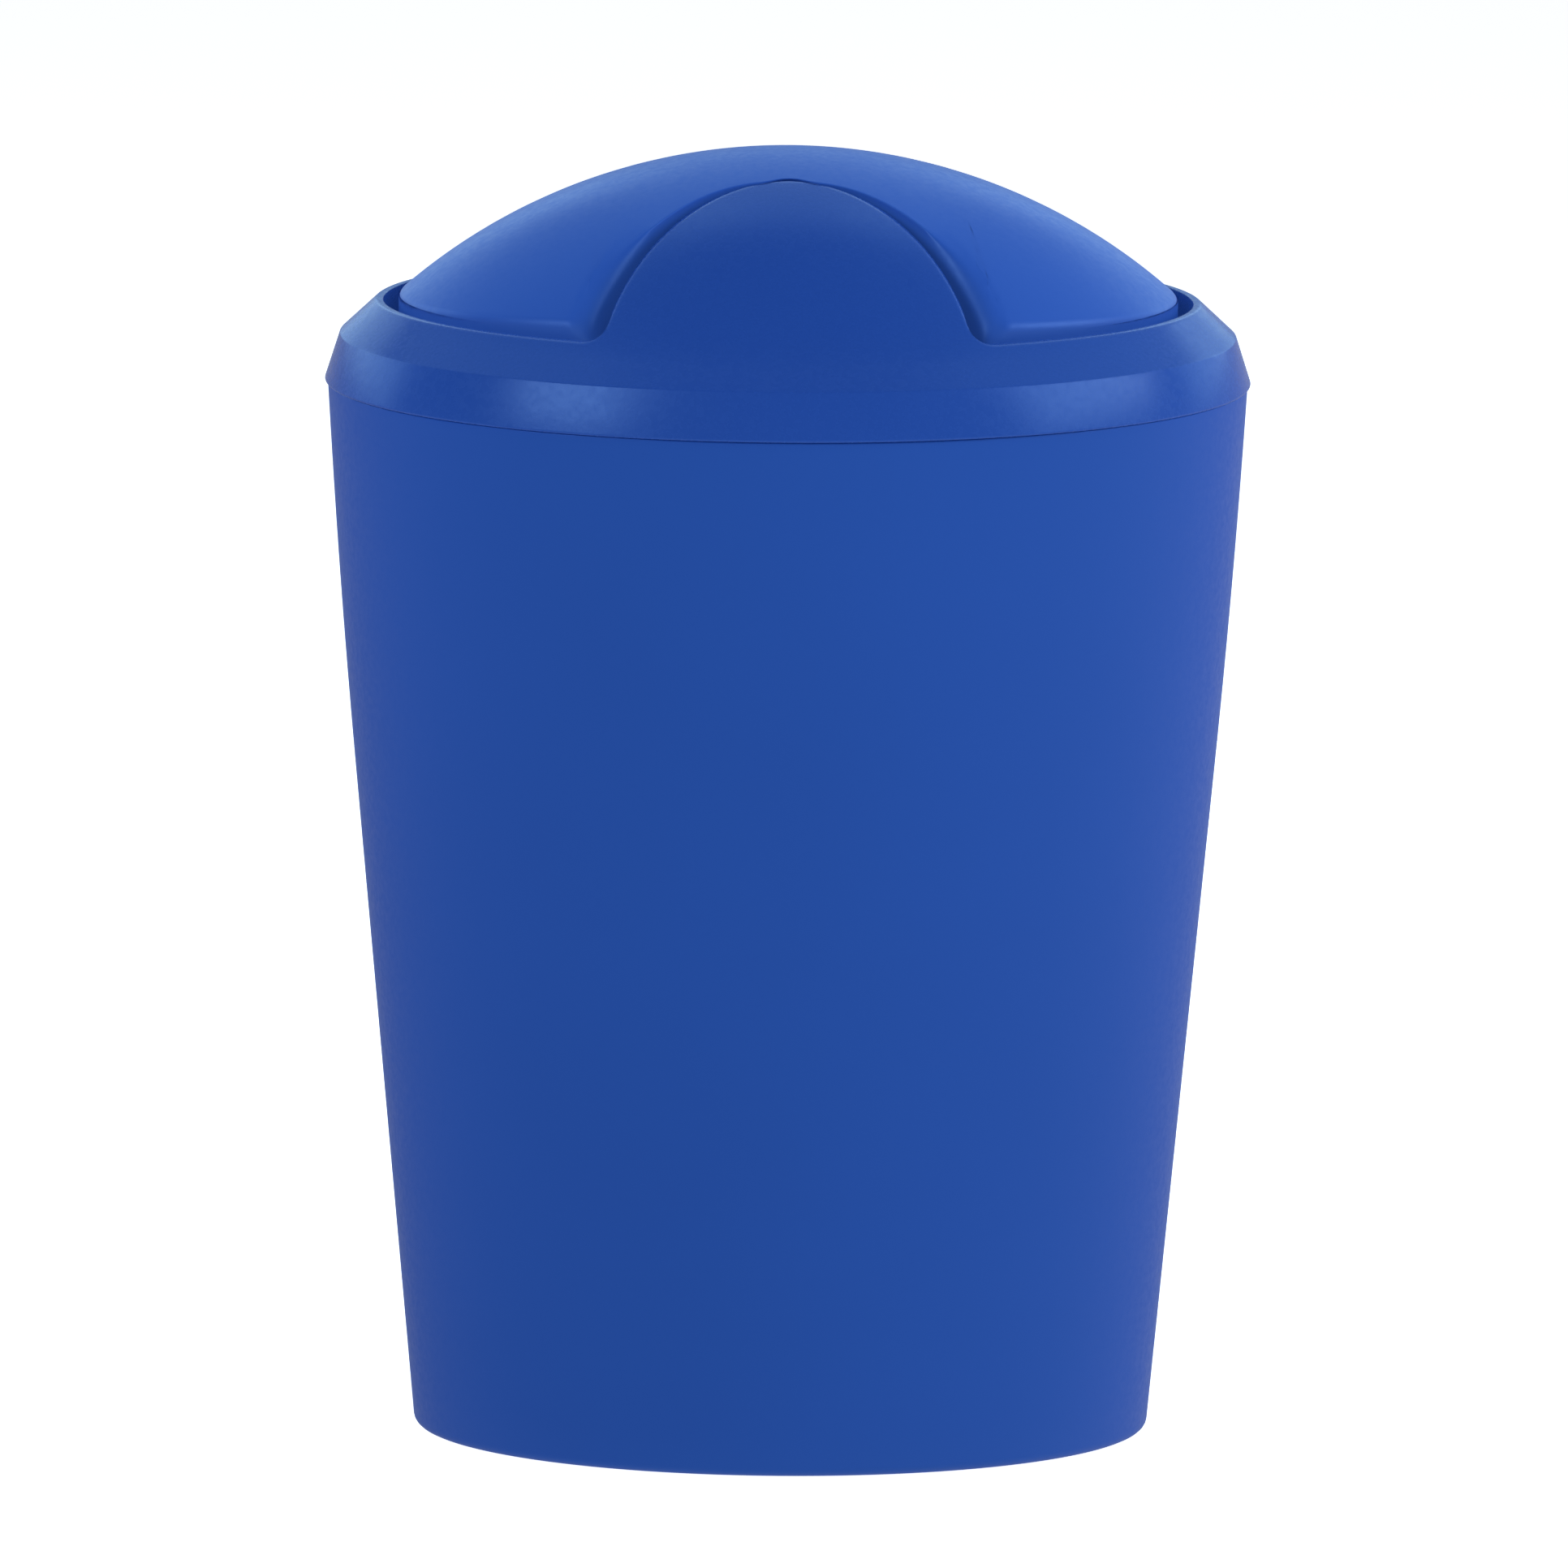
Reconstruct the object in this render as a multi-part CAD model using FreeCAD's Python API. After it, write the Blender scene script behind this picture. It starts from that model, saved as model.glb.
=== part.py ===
"""Oval waste bin with a lift-off lid collar and a domed flap that swings both ways.

Millimetres. The origin is at the centre of the base, +Z is up and the front faces -Y.
The plan is an oval with its long side along X. The flap turns about an axis along Y.
"""

import FreeCAD
import Part

import math
import os

from FreeCAD import Vector

# Bucket: an oval that widens upwards, straight at first and then easing off
BASE_HALF_LENGTH = 91.5
OVAL_INSET = 28.1
RIM_HEIGHT = 264.6
SIDE_DRAFT = 5.25
STRAIGHT_HEIGHT = 170.0
EASING_RADIUS = 2690.0
BUCKET_WALL = 2.0
BASE_CORNER_RADIUS = 4.0
FLOOR_CORNER_RADIUS = 3.0
FLOOR_THICKNESS = 2.4
FOOT_WIDTH = 4.0
FOOT_RECESS = 2.0
RIM_ROUNDING = 0.5

# Lid collar: a steep band, a crease, a slope up to the mouth and a skirt inside it
LIP_OVERHANG = 0.9
BAND_HEIGHT = 11.9
BAND_INSET = 3.8
CREASE_ROUNDING = 0.7
LIP_ROUNDING = 0.5
MOUTH_ROUNDING = 1.0
SLOPE_HEIGHT = 8.5
SLOPE_RUN_END = 9.0
SLOPE_RUN_FRONT = 12.0
COLLAR_WALL = 1.9
BAND_WALL = 2.2
MOUTH_SKIRT_WALL = 1.8
MOUTH_SKIRT_HEIGHT = 9.0
PLUG_DEPTH = 10.0
PLUG_WALL = 2.0
PLUG_CLEARANCE = 0.4

# Dome: shared by the flap and by the tongues that stand in its pockets
DOME_RISE = 38.1
FLAP_END_RISE = 1.3
FLAP_FRONT_RISE = 4.7
TONGUE_PROUD = 0.4
TONGUE_BLEND_HEIGHT = 12.0

# Tongues: the arches at the front and rear that carry the flap
TONGUE_HALF_WIDTH = 48.5
TONGUE_TOP_DROP = 3.2
TONGUE_FLARE_RADIUS = 8.0

# Flap: dome, small ledge and skirt, with a bowl about the pivot axis for each tongue
FLAP_MOUTH_GAP = 5.8
FLAP_SKIRT_DROP = 4.0
FLAP_WALL = 1.8
LEDGE_WIDTH = 0.8
LEDGE_DROP = 0.7
LEDGE_ROUNDING = 0.5
POCKET_CLEARANCE_TOP = 6.2
POCKET_CLEARANCE_FOOT = 3.3
POCKET_FLOOR_DEPTH = 3.6
POCKET_FLOOR_RADIUS = 4.9
POCKET_ROUNDING = 0.5
TONGUE_RUNNING_GAP = 0.7

# Pivots: pins pressed through the flap's pocket walls into bosses on the tongues
PIVOT_DEPTH = 11.1
PIN_RADIUS = 2.5
PIN_REACH = 13.0
PIN_TIP_CHAMFER = 0.5
PIN_HEAD_RADIUS = 4.5
PIN_HEAD_THICKNESS = 2.0
PIN_PRESS_CLEARANCE = 0.02
PIN_RUNNING_CLEARANCE = 0.06
PIN_END_CLEARANCE = 0.5
BOSS_WALL = 2.1
BOSS_SIDE_GAP = 0.8
GUSSET_THICKNESS = 2.0
GUSSET_DEPTH = 12.0

# Heights and plan sizes that follow
CREASE_HEIGHT = RIM_HEIGHT + BAND_HEIGHT
MOUTH_HEIGHT = CREASE_HEIGHT + SLOPE_HEIGHT
DOME_TOP = MOUTH_HEIGHT + DOME_RISE
PIVOT_HEIGHT = DOME_TOP - PIVOT_DEPTH
SLOPE_WALL_INWARD = COLLAR_WALL * 2 / 3
SLOPE_WALL_DOWN = COLLAR_WALL * 5 / 6
TOOL_MARGIN = 20.0
NEAR = 1e-3


def side_half_length(z):
    """Half length of the bucket's outer oval at height z."""
    eased = max(z - STRAIGHT_HEIGHT, 0.0)
    return BASE_HALF_LENGTH + z * math.tan(math.radians(SIDE_DRAFT)) - eased ** 2 / (2 * EASING_RADIUS)


LIP_HALF_LENGTH = side_half_length(RIM_HEIGHT) + LIP_OVERHANG
LIP_HALF_DEPTH = LIP_HALF_LENGTH - OVAL_INSET
MOUTH_HALF_LENGTH = LIP_HALF_LENGTH - BAND_INSET - SLOPE_RUN_END
MOUTH_HALF_DEPTH = LIP_HALF_DEPTH - BAND_INSET - SLOPE_RUN_FRONT
FLAP_HALF_LENGTH = MOUTH_HALF_LENGTH - FLAP_MOUTH_GAP
FLAP_HALF_DEPTH = MOUTH_HALF_DEPTH - FLAP_MOUTH_GAP
FLAP_BOTTOM = MOUTH_HEIGHT - FLAP_SKIRT_DROP

# The dome is a spheroid about an axis along Y. Its arc runs from the top to the flap's ends,
# and its half depth puts the flap's front edge at its own height.
DOME_END_DROP = DOME_RISE - FLAP_END_RISE
DOME_RADIUS = (FLAP_HALF_LENGTH ** 2 + DOME_END_DROP ** 2) / (2 * DOME_END_DROP)
DOME_CENTRE = DOME_TOP - DOME_RADIUS
FRONT_EDGE_RATIO = (MOUTH_HEIGHT + FLAP_FRONT_RISE - DOME_CENTRE) / DOME_RADIUS
DOME_HALF_DEPTH = FLAP_HALF_DEPTH / math.sqrt(1 - FRONT_EDGE_RATIO ** 2)

# The tongue's edge is an arch in the front view, as wide at the mouth's height as the tongue
TONGUE_TOP = DOME_TOP - TONGUE_TOP_DROP
TONGUE_RISE = TONGUE_TOP - MOUTH_HEIGHT
TONGUE_RADIUS = (TONGUE_HALF_WIDTH ** 2 + TONGUE_RISE ** 2) / (2 * TONGUE_RISE)
TONGUE_CENTRE = TONGUE_TOP - TONGUE_RADIUS


def tongue_edge(share):
    """Depth, and distance from the pivot axis, on a tongue's edge from its top (0) to its foot (1)."""
    turn = share * math.acos((MOUTH_HEIGHT - TONGUE_CENTRE) / TONGUE_RADIUS)
    x = TONGUE_RADIUS * math.sin(turn)
    z = TONGUE_CENTRE + TONGUE_RADIUS * math.cos(turn)
    along = math.hypot(x, z - DOME_CENTRE) / DOME_RADIUS
    return DOME_HALF_DEPTH * math.sqrt(1 - along ** 2), math.hypot(x, z - PIVOT_HEIGHT)


POCKET_BACK = tongue_edge(0.0)[0] - POCKET_FLOOR_DEPTH
BOSS_END = POCKET_BACK + BOSS_SIDE_GAP
BOSS_RADIUS = PIN_RADIUS + PIN_RUNNING_CLEARANCE + BOSS_WALL


def oval(half_length, half_depth, z):
    """Closed oval wire at height z."""
    return Part.Wire(Part.Ellipse(Vector(0, 0, z), half_length, half_depth).toShape())


def oval_prism(half_length, half_depth, bottom, top):
    """Upright solid with an oval plan."""
    return Part.Face(oval(half_length, half_depth, bottom)).extrude(Vector(0, 0, top - bottom))


def oval_ring(half_length, half_depth, wall, bottom, top):
    """Upright oval wall, measured to its outer face."""
    outer = oval_prism(half_length, half_depth, bottom, top)
    return outer.cut(oval_prism(half_length - wall, half_depth - wall, bottom, top))


def edges_at(shape, z):
    """Edges that lie flat at height z."""
    return [e for e in shape.Edges if max(abs(e.BoundBox.ZMin - z), abs(e.BoundBox.ZMax - z)) < NEAR]


def bucket_form(wall, bottom, top):
    """Solid bounded by the bucket's side, drawn in by wall."""
    heights = [bottom, (bottom + STRAIGHT_HEIGHT) / 2, STRAIGHT_HEIGHT, (STRAIGHT_HEIGHT + top) / 2, top]
    wires = []
    for z in heights:
        half_length = side_half_length(z) - wall
        wires.append(oval(half_length, half_length - OVAL_INSET, z))
    return Part.makeLoft(wires, True, False)


def make_bucket():
    """Open bucket with a rounded base corner, a foot ring and a rounded rim."""
    outer = bucket_form(0.0, 0.0, RIM_HEIGHT)
    outer = outer.makeFillet(BASE_CORNER_RADIUS, edges_at(outer, 0.0))
    floor = FOOT_RECESS + FLOOR_THICKNESS
    inside = bucket_form(BUCKET_WALL, floor, RIM_HEIGHT + TOOL_MARGIN)
    inside = inside.makeFillet(FLOOR_CORNER_RADIUS, edges_at(inside, floor))
    recess_half_length = BASE_HALF_LENGTH - BASE_CORNER_RADIUS - FOOT_WIDTH
    recess = oval_prism(recess_half_length, recess_half_length - OVAL_INSET, -TOOL_MARGIN, FOOT_RECESS)
    bucket = outer.cut(inside).cut(recess)
    return bucket.makeFillet(RIM_ROUNDING, edges_at(bucket, RIM_HEIGHT))


def spheroid(inset, drop):
    """The dome's whole spheroid, drawn in by inset and lowered by drop."""
    radius = DOME_RADIUS - inset
    half_depth = DOME_HALF_DEPTH - inset
    curve = Part.Ellipse(Vector(0, 0, 0), radius, half_depth)
    arc = Part.Arc(curve, -math.pi / 2, math.pi / 2).toShape()
    axis = Part.LineSegment(Vector(0, half_depth, 0), Vector(0, -half_depth, 0)).toShape()
    body = Part.Face(Part.Wire([arc, axis])).revolve(Vector(0, 0, 0), Vector(0, 1, 0), 360)
    body.translate(Vector(0, 0, DOME_CENTRE - drop))
    return body


def hill_half_sizes(z):
    """Half length and half depth of the collar's slope, and above it of the tongues' surface."""
    if z <= MOUTH_HEIGHT:
        below = (MOUTH_HEIGHT - z) / SLOPE_HEIGHT
        return MOUTH_HALF_LENGTH + below * SLOPE_RUN_END, MOUTH_HALF_DEPTH + below * SLOPE_RUN_FRONT
    fade = max(1 - (z - MOUTH_HEIGHT) / TONGUE_BLEND_HEIGHT, 0.0) ** 2
    mouth_ratio = math.sqrt(1 - ((MOUTH_HEIGHT - DOME_CENTRE) / DOME_RADIUS) ** 2)
    ratio = math.sqrt(1 - ((z - DOME_CENTRE) / DOME_RADIUS) ** 2)
    spare_length = MOUTH_HALF_LENGTH - DOME_RADIUS * mouth_ratio - TONGUE_PROUD
    spare_depth = MOUTH_HALF_DEPTH - DOME_HALF_DEPTH * mouth_ratio - TONGUE_PROUD
    half_length = DOME_RADIUS * ratio + TONGUE_PROUD + fade * spare_length
    half_depth = DOME_HALF_DEPTH * ratio + TONGUE_PROUD + fade * spare_depth
    return half_length, half_depth


def collar_form(depth):
    """Solid under a face of the collar, from its outer face (0) to its inner one (1).

    The steep band and the hill above it cross at the crease.
    """
    lean = BAND_INSET / BAND_HEIGHT
    band_wires = []
    for z in (RIM_HEIGHT - depth * BAND_WALL, DOME_TOP + TOOL_MARGIN):
        narrower = depth * BAND_WALL + (z - RIM_HEIGHT) * lean
        band_wires.append(oval(LIP_HALF_LENGTH - narrower, LIP_HALF_DEPTH - narrower, z))
    band = Part.makeLoft(band_wires, True, True)
    heights = [RIM_HEIGHT - SLOPE_HEIGHT, CREASE_HEIGHT - SLOPE_HEIGHT, CREASE_HEIGHT, MOUTH_HEIGHT]
    above = TONGUE_RISE + TONGUE_TOP_DROP / 2
    heights += [MOUTH_HEIGHT + above * share for share in (0.1, 0.2, 0.35, 0.5, 0.65, 0.8, 0.92, 1.0)]
    hill_wires = []
    for z in heights:
        half_length, half_depth = hill_half_sizes(z)
        inward = depth * SLOPE_WALL_INWARD
        hill_wires.append(oval(half_length - inward, half_depth - inward, z - depth * SLOPE_WALL_DOWN))
    return band.common(Part.makeLoft(hill_wires, True, False))


def parting_curtain():
    """Everything under the collar's upper edge: level mouth, flares and arched tongues."""
    flare_height = MOUTH_HEIGHT + TONGUE_FLARE_RADIUS
    reach = TONGUE_RADIUS + TONGUE_FLARE_RADIUS
    flare_x = math.sqrt(reach ** 2 - (flare_height - TONGUE_CENTRE) ** 2)
    towards_arch = Vector(-flare_x, 0, TONGUE_CENTRE - flare_height).normalize()
    flare_mid = (towards_arch + Vector(0, 0, -1)).normalize()
    flare_centre = Vector(flare_x, 0, flare_height)
    join = flare_centre + towards_arch * TONGUE_FLARE_RADIUS
    middle = flare_centre + flare_mid * TONGUE_FLARE_RADIUS
    level = Vector(flare_x, 0, MOUTH_HEIGHT)
    far = LIP_HALF_LENGTH + TOOL_MARGIN
    corner = Vector(far, 0, MOUTH_HEIGHT)
    foot = Vector(far, 0, RIM_HEIGHT - PLUG_DEPTH - TOOL_MARGIN)

    def mirrored(point):
        return Vector(-point.x, point.y, point.z)

    top = Vector(0, 0, TONGUE_TOP)
    edges = [
        Part.LineSegment(mirrored(foot), mirrored(corner)).toShape(),
        Part.LineSegment(mirrored(corner), mirrored(level)).toShape(),
        Part.Arc(mirrored(level), mirrored(middle), mirrored(join)).toShape(),
        Part.Arc(mirrored(join), top, join).toShape(),
        Part.Arc(join, middle, level).toShape(),
        Part.LineSegment(level, corner).toShape(),
        Part.LineSegment(corner, foot).toShape(),
        Part.LineSegment(foot, mirrored(foot)).toShape(),
    ]
    half_depth = LIP_HALF_DEPTH + TOOL_MARGIN
    face = Part.Face(Part.Wire(edges))
    face.translate(Vector(0, -half_depth, 0))
    return face.extrude(Vector(0, 2 * half_depth, 0))


def along_y(radius, start, end, side):
    """Cylinder on the pivot axis from start to end, on the front (-1) or rear (+1) side."""
    return Part.makeCylinder(radius, end - start, Vector(0, side * start, PIVOT_HEIGHT), Vector(0, side, 0))


def crease_edges(form):
    """The closed edge where the collar's band meets its slope."""
    return [e for e in form.Edges if e.isClosed() and abs(e.CenterOfMass.z - CREASE_HEIGHT) < BAND_HEIGHT / 4]


def upper_edges(form):
    """The edge of the outer face along the mouth, the flares and the arches."""
    found = []
    for edge in form.Edges:
        middle = edge.valueAt((edge.FirstParameter + edge.LastParameter) / 2)
        if middle.z > MOUTH_HEIGHT - NEAR and not isinstance(edge.Curve, Part.Line):
            found.append(edge)
    return found


def pocket_wall(grown):
    """Depth, and distance from the pivot axis, along a pocket's wall that is moved outwards by grown."""
    points = [(POCKET_BACK, POCKET_FLOOR_RADIUS)]
    for share in (0.0, 0.15, 0.3, 0.45, 0.6, 0.8, 1.0):
        depth, distance = tongue_edge(share)
        tighter = (POCKET_CLEARANCE_TOP - POCKET_CLEARANCE_FOOT) * share ** 3
        points.append((depth, distance + POCKET_CLEARANCE_TOP - tighter))
    (depth_a, distance_a), (depth_b, distance_b) = points[-2:]
    slope = (distance_b - distance_a) / (depth_b - depth_a)
    points.append((DOME_HALF_DEPTH, distance_b + (DOME_HALF_DEPTH - depth_b) * slope))
    wall = []
    for index, (depth, distance) in enumerate(points):
        depth_a, distance_a = points[max(index - 1, 0)]
        depth_b, distance_b = points[min(index + 1, len(points) - 1)]
        lean = math.atan2(distance_b - distance_a, depth_b - depth_a)
        wall.append((depth - grown * math.sin(lean), distance + grown * math.cos(lean)))
    wall[0] = (POCKET_BACK - grown, wall[0][1])
    return wall


def pocket(side, grown):
    """Bowl about the pivot axis around a tongue, on the front (-1) or rear (+1) side, grown by a wall."""
    points = [Vector(0, side * depth, PIVOT_HEIGHT - distance) for depth, distance in pocket_wall(grown)]
    curve = Part.BSplineCurve()
    curve.interpolate(points)
    floor = Vector(0, points[0].y, PIVOT_HEIGHT)
    far = Vector(0, points[-1].y, PIVOT_HEIGHT)
    edges = [
        Part.LineSegment(floor, points[0]).toShape(),
        curve.toShape(),
        Part.LineSegment(points[-1], far).toShape(),
        Part.LineSegment(far, floor).toShape(),
    ]
    return Part.Face(Part.Wire(edges)).revolve(floor, Vector(0, 1, 0), 360)


def pocket_edges(form):
    """Edges where the dome meets the walls of the pockets."""
    found = []
    for edge in form.Edges:
        middle = edge.valueAt((edge.FirstParameter + edge.LastParameter) / 2)
        along = math.hypot(middle.x, middle.z - DOME_CENTRE) / DOME_RADIUS
        on_dome = abs(along ** 2 + (middle.y / DOME_HALF_DEPTH) ** 2 - 1) < NEAR
        out = (middle.x / FLAP_HALF_LENGTH) ** 2 + (middle.y / FLAP_HALF_DEPTH) ** 2
        if on_dome and out < 1 - LEDGE_WIDTH / FLAP_HALF_DEPTH * 2 - NEAR and abs(middle.y) > POCKET_BACK:
            found.append(edge)
    return found


def collar_shell():
    """Thin outer wall of the collar with its tongues, rounded along its edges."""
    outer = collar_form(0.0)
    outer = outer.makeFillet(CREASE_ROUNDING, crease_edges(outer))
    outer = outer.makeFillet(LIP_ROUNDING, edges_at(outer, RIM_HEIGHT))
    outer = outer.common(parting_curtain())
    outer = outer.makeFillet(MOUTH_ROUNDING, upper_edges(outer))
    shell = outer.cut(collar_form(1.0))
    above = Part.makeBox(2 * LIP_HALF_LENGTH, 2 * LIP_HALF_DEPTH, DOME_RISE)
    above.translate(Vector(-LIP_HALF_LENGTH, -LIP_HALF_DEPTH, MOUTH_HEIGHT + COLLAR_WALL))
    for side in (-1, 1):
        above = above.cut(pocket(side, -TONGUE_RUNNING_GAP))
    return shell.cut(above)


def plug_ring(within):
    """Ring that hangs from the collar into the bucket and keeps it in place."""
    bottom = RIM_HEIGHT - PLUG_DEPTH
    half_length = side_half_length(bottom) - BUCKET_WALL - PLUG_CLEARANCE
    half_depth = half_length - OVAL_INSET
    upper = oval_ring(half_length, half_depth, PLUG_WALL, RIM_HEIGHT, CREASE_HEIGHT).common(within)
    return upper.fuse(oval_ring(half_length, half_depth, PLUG_WALL, bottom, RIM_HEIGHT))


def pivot_boss(side, within):
    """Boss with its gusset behind a tongue, on the front (-1) or rear (+1) side."""
    boss = along_y(BOSS_RADIUS, BOSS_END, DOME_HALF_DEPTH, side)
    gusset = Part.makeBox(GUSSET_THICKNESS, DOME_HALF_DEPTH - BOSS_END, GUSSET_DEPTH)
    gusset.translate(Vector(-GUSSET_THICKNESS / 2, BOSS_END, PIVOT_HEIGHT - GUSSET_DEPTH))
    if side < 0:
        gusset = gusset.mirror(Vector(0, 0, 0), Vector(0, 1, 0))
    return boss.fuse(gusset.common(pocket(side, -TONGUE_RUNNING_GAP))).common(within)


def make_collar():
    """Lid collar: shell with tongues, plug ring, mouth skirt and pivot bosses."""
    middle = collar_form(0.5)
    skirt_bottom = MOUTH_HEIGHT - MOUTH_SKIRT_HEIGHT
    skirt = oval_ring(MOUTH_HALF_LENGTH, MOUTH_HALF_DEPTH, MOUTH_SKIRT_WALL, skirt_bottom, MOUTH_HEIGHT)
    inner_length = MOUTH_HALF_LENGTH - MOUTH_SKIRT_WALL
    inner_depth = MOUTH_HALF_DEPTH - MOUTH_SKIRT_WALL
    mouth = oval_prism(inner_length, inner_depth, skirt_bottom - TOOL_MARGIN, MOUTH_HEIGHT + COLLAR_WALL / 4)
    collar = collar_shell().fuse(plug_ring(middle)).fuse(skirt.common(middle)).cut(mouth)
    hole_end = POCKET_BACK + PIN_REACH + PIN_END_CLEARANCE
    for side in (-1, 1):
        collar = collar.fuse(pivot_boss(side, middle))
        collar = collar.cut(along_y(PIN_RADIUS + PIN_RUNNING_CLEARANCE, 0.0, hole_end, side))
    return collar


def make_flap():
    """Domed flap: hollow, open below, with a pocket at the front and rear."""
    top = DOME_TOP + TOOL_MARGIN
    crown_length = FLAP_HALF_LENGTH - LEDGE_WIDTH
    crown_depth = FLAP_HALF_DEPTH - LEDGE_WIDTH
    crown = spheroid(0.0, 0.0).common(oval_prism(crown_length, crown_depth, FLAP_BOTTOM, top))
    base = spheroid(0.0, LEDGE_DROP).common(oval_prism(FLAP_HALF_LENGTH, FLAP_HALF_DEPTH, FLAP_BOTTOM, top))
    ledge = [e for e in base.Edges if e.isClosed() and e.CenterOfMass.z > FLAP_BOTTOM + NEAR]
    flap = crown.fuse(base.makeFillet(LEDGE_ROUNDING, ledge))
    below = FLAP_BOTTOM - TOOL_MARGIN
    cavity = spheroid(FLAP_WALL, 0.0)
    cavity = cavity.common(oval_prism(crown_length - FLAP_WALL, crown_depth - FLAP_WALL, below, top))
    for side in (-1, 1):
        flap = flap.cut(pocket(side, 0.0))
        cavity = cavity.cut(pocket(side, FLAP_WALL))
    flap = flap.makeFillet(POCKET_ROUNDING, pocket_edges(flap)).cut(cavity)
    for side in (-1, 1):
        flap = flap.cut(along_y(PIN_RADIUS + PIN_PRESS_CLEARANCE, 0.0, POCKET_BACK + TOOL_MARGIN, side))
    return flap


def make_pin(side):
    """Headed pin: the head lies inside the flap and the shank reaches into the boss."""
    head_end = POCKET_BACK - FLAP_WALL
    tip = POCKET_BACK + PIN_REACH
    shank = along_y(PIN_RADIUS, head_end, tip, side)
    tip_edges = [e for e in shank.Edges if e.isClosed() and abs(e.CenterOfMass.y - side * tip) < NEAR]
    shank = shank.makeChamfer(PIN_TIP_CHAMFER, tip_edges)
    return shank.fuse(along_y(PIN_HEAD_RADIUS, head_end - PIN_HEAD_THICKNESS, head_end, side))


parts = {
    "bucket": make_bucket(),
    "lid_collar": make_collar(),
    "swing_flap": make_flap(),
    "pivot_pin_front": make_pin(-1),
    "pivot_pin_rear": make_pin(1),
}

os.makedirs("parts", exist_ok=True)
for name, shape in parts.items():
    shape.exportStep("parts/" + name + ".step")
    print(name, shape.isValid(), len(shape.Solids), round(shape.Volume, 1), shape.BoundBox)
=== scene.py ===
"""Oval waste bin with a swing flap, in matte blue moulded plastic, in a plain studio.

Sizes are in millimetres and are scaled to metres where they are used.
The front faces -Y. The flap turns about an axis along Y.
"""

import math

import bmesh
import bpy
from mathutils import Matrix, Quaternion, Vector


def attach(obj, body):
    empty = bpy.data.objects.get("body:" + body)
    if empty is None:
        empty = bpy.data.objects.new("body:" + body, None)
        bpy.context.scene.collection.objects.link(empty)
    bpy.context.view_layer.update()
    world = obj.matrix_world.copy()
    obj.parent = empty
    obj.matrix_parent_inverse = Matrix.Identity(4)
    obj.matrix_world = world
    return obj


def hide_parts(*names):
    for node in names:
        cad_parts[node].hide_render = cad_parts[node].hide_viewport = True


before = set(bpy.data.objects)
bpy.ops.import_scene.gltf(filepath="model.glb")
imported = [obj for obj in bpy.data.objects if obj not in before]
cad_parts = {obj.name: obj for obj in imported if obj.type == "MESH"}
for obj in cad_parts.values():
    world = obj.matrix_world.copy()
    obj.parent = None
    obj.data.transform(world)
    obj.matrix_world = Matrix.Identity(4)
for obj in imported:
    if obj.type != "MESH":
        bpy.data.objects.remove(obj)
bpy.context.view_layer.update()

MM = 0.001

# Bucket
BASE_HALF_LENGTH = 91.5
OVAL_INSET = 28.1
RIM_HEIGHT = 264.6
SIDE_SLOPE = math.tan(math.radians(5.25))
STRAIGHT_HEIGHT = 170.0
EASING_RADIUS = 2690.0
BUCKET_WALL = 2.0
FOOT_RECESS = 2.0
FOOT_INSIDE = 83.5
FLOOR_TOP = 4.4

# Lid collar
LIP = (115.05, 86.95)
BAND_WALL = 2.2
BAND_LEAN = 3.8 / 11.9
CREASE_HEIGHT = 276.5
CREASE = (111.25, 83.15)
MOUTH_HEIGHT = 285.0
MOUTH = (102.25, 71.15)
SKIRT_WALL = 1.8
SKIRT_BOTTOM = 276.0
PLUG = (111.05, 82.95)
PLUG_WALL = 2.0
PLUG_BOTTOM = 254.6

# Dome that the flap and the tongues share
DOME_TOP = 323.1
DOME_RADIUS = 144.8
DOME_CENTRE = DOME_TOP - DOME_RADIUS
DOME_HALF_DEPTH = 102.3
TONGUE_PROUD = 0.4
# Along the length and along the depth: heights between which the collar's slope eases into the dome
EASING_HEIGHTS = ((MOUTH_HEIGHT, 299.0), (281.5, 297.0))
DOME_HALF_SIZES = (DOME_RADIUS, DOME_HALF_DEPTH)

# Tongues, front and rear
TONGUE_TOP = 319.0
TONGUE_RADIUS = 47.6
TONGUE_CENTRE = TONGUE_TOP - TONGUE_RADIUS
FLARE_RADIUS = 8.0
TONGUE_WALL_IN = 1.27
TONGUE_WALL_DOWN = 1.58
RUNNING_GAP = 1.0
EDGE_REACH = 0.75
INNER_ROUNDING = 0.4
# Share of the arch from top to foot, and how far the flap's pocket stands off it there
POCKET_STAND_OFF = (
    (0.0, 0.8), (0.08, 3.6), (0.16, 5.2), (0.25, 6.0), (0.4, 6.9),
    (0.55, 7.5), (0.72, 8.0), (0.85, 7.6), (1.0, 6.4),
)

# Flap
FLAP_BOTTOM = 281.0
CROWN = (95.65, 64.55)
EDGE_ROUNDING = 1.0
FLAP_WALL = 1.8
PIVOT_HEIGHT = 312.0
POCKET_FLOOR = 17.79
POCKET_FLOOR_RADIUS = 4.9
PIN_HOLE_RADIUS = 2.52
BOSS_RADIUS = 4.66
BOSS_END = 18.59
BOSS_HOLE_RADIUS = 2.56
BOSS_HOLE_END = 31.29


# Shapes that several pieces follow


def smooth_step(value):
    """0 below 0, 1 above 1, and an even ease between."""
    value = min(max(value, 0.0), 1.0)
    return value * value * (3 - 2 * value)


def bisect(function, low, high):
    """Where a function changes sign between low and high."""
    sign = function(low) > 0
    for _ in range(40):
        middle = (low + high) / 2
        if (function(middle) > 0) == sign:
            low = middle
        else:
            high = middle
    return (low + high) / 2


def bent(start, corner, end, share):
    """Point on the curve that rounds a corner."""
    return start * (1 - share) ** 2 + corner * (2 * share * (1 - share)) + end * share ** 2


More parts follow.
